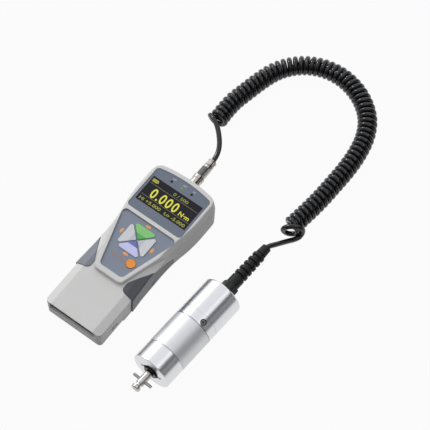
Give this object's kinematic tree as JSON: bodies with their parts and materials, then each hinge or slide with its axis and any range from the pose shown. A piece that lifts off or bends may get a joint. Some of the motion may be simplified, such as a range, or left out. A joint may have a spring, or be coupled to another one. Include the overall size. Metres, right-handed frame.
{
  "type": "torque gauge",
  "caption": "Handheld digital torque gauge: display unit with keypad and rubber grips, and a cylindrical torque sensor on a coiled cable.",
  "frame": {"origin": "on the display unit's back face, in the middle of its four stand inserts", "axes": "+Z out of the back face towards the screen side, +Y along the display unit towards its connector end, +X to the right seen from the front"},
  "size_m": [0.1489, 0.3774, 0.0388],
  "materials": {
    "case": "fine moulded texture",
    "panel": "satin printed film",
    "display_glass": "dark display glass",
    "board": "solder mask",
    "light": "clear tinted",
    "green_key": "satin",
    "grey_key": "satin",
    "violet_key": "satin",
    "orange_key": "satin",
    "spring_steel": "bright",
    "grip": "fine matte",
    "battery": "shrink sleeve",
    "dark_plastic": "moulded",
    "plate": "moulded",
    "nickel": "nickel plated brass",
    "steel": "turned",
    "brass": "knurled insert",
    "cable": "glossy jacket",
    "black_rubber": "moulded",
    "black_plastic": "moulded",
    "barrel": "turned and clear anodised",
    "foil": "thin foil"
  },
  "bodies": {
    "gauge": {"rear_case": "case", "front_cover": "case", "screen_panel": "panel", "keypad_panel": "panel", "display_glass": "display_glass", "display_board": "board", "key_board": "board", "main_board": "board", "sensor_board": "board", "status_lights": "light", "key_switches": "spring_steel", "plug_pins": "spring_steel", "strap_bar": "spring_steel", "usb_socket": "spring_steel", "grip_left": "grip", "grip_right": "grip", "battery_pack": "battery", "port_bay": "dark_plastic", "io_socket": "dark_plastic", "connector_plate": "plate", "sensor_socket": "nickel", "socket_nut": "nickel", "plug_body": "nickel", "plug_clamp_nut": "nickel", "case_screws": "steel", "torsion_bar": "steel", "nose_screws": "steel", "clamp_screw": "steel", "bearing_outer_race": "steel", "bearing_balls": "steel", "mount_inserts": "brass", "cord_lead_plug": "cable", "cord_coil": "cable", "cord_lead_sensor": "cable", "strain_relief_boot": "black_rubber", "nose_seal": "black_rubber", "cable_gland": "black_plastic", "sensor_front_cap": "barrel", "sensor_grip_sleeve": "barrel", "sensor_rear_cap": "barrel", "strain_gauges": "foil"},
    "zero_key": {"zero_key": "green_key"},
    "left_key": {"left_key": "grey_key"},
    "right_key": {"right_key": "grey_key"},
    "menu_key": {"menu_key": "violet_key"},
    "power_key": {"power_key": "orange_key"},
    "lock_sleeve": {"plug_lock_sleeve": "nickel"},
    "input_shaft": {"torque_shaft": "steel", "cross_pin": "steel", "bearing_inner_race": "steel"}
  },
  "joints": [
    {"name": "zero_key_press", "type": "slide", "parent": "gauge", "child": "zero_key", "axis": [0, 0, -1], "range_m": [0, 0.0004], "stiffness_N_per_m": 1500},
    {"name": "left_key_press", "type": "slide", "parent": "gauge", "child": "left_key", "axis": [0, 0, -1], "range_m": [0, 0.0004], "stiffness_N_per_m": 1500},
    {"name": "right_key_press", "type": "slide", "parent": "gauge", "child": "right_key", "axis": [0, 0, -1], "range_m": [0, 0.0004], "stiffness_N_per_m": 1500},
    {"name": "menu_key_press", "type": "slide", "parent": "gauge", "child": "menu_key", "axis": [0, 0, -1], "range_m": [0, 0.0004], "stiffness_N_per_m": 1500},
    {"name": "power_key_press", "type": "slide", "parent": "gauge", "child": "power_key", "axis": [0, 0, -1], "range_m": [0, 0.0004], "stiffness_N_per_m": 1500},
    {"name": "lock_sleeve_pull", "type": "slide", "parent": "gauge", "child": "lock_sleeve", "axis": [0, 1, 0], "range_m": [0, 0.0015], "stiffness_N_per_m": 800},
    {"name": "input_shaft_twist", "type": "hinge", "parent": "gauge", "child": "input_shaft", "pos_m": [0.0838, -0.0781, 0.0194], "axis": [0.0582, 0.9983, 0], "range_deg": [-1, 1], "stiffness_Nm_per_rad": 30}
  ]
}
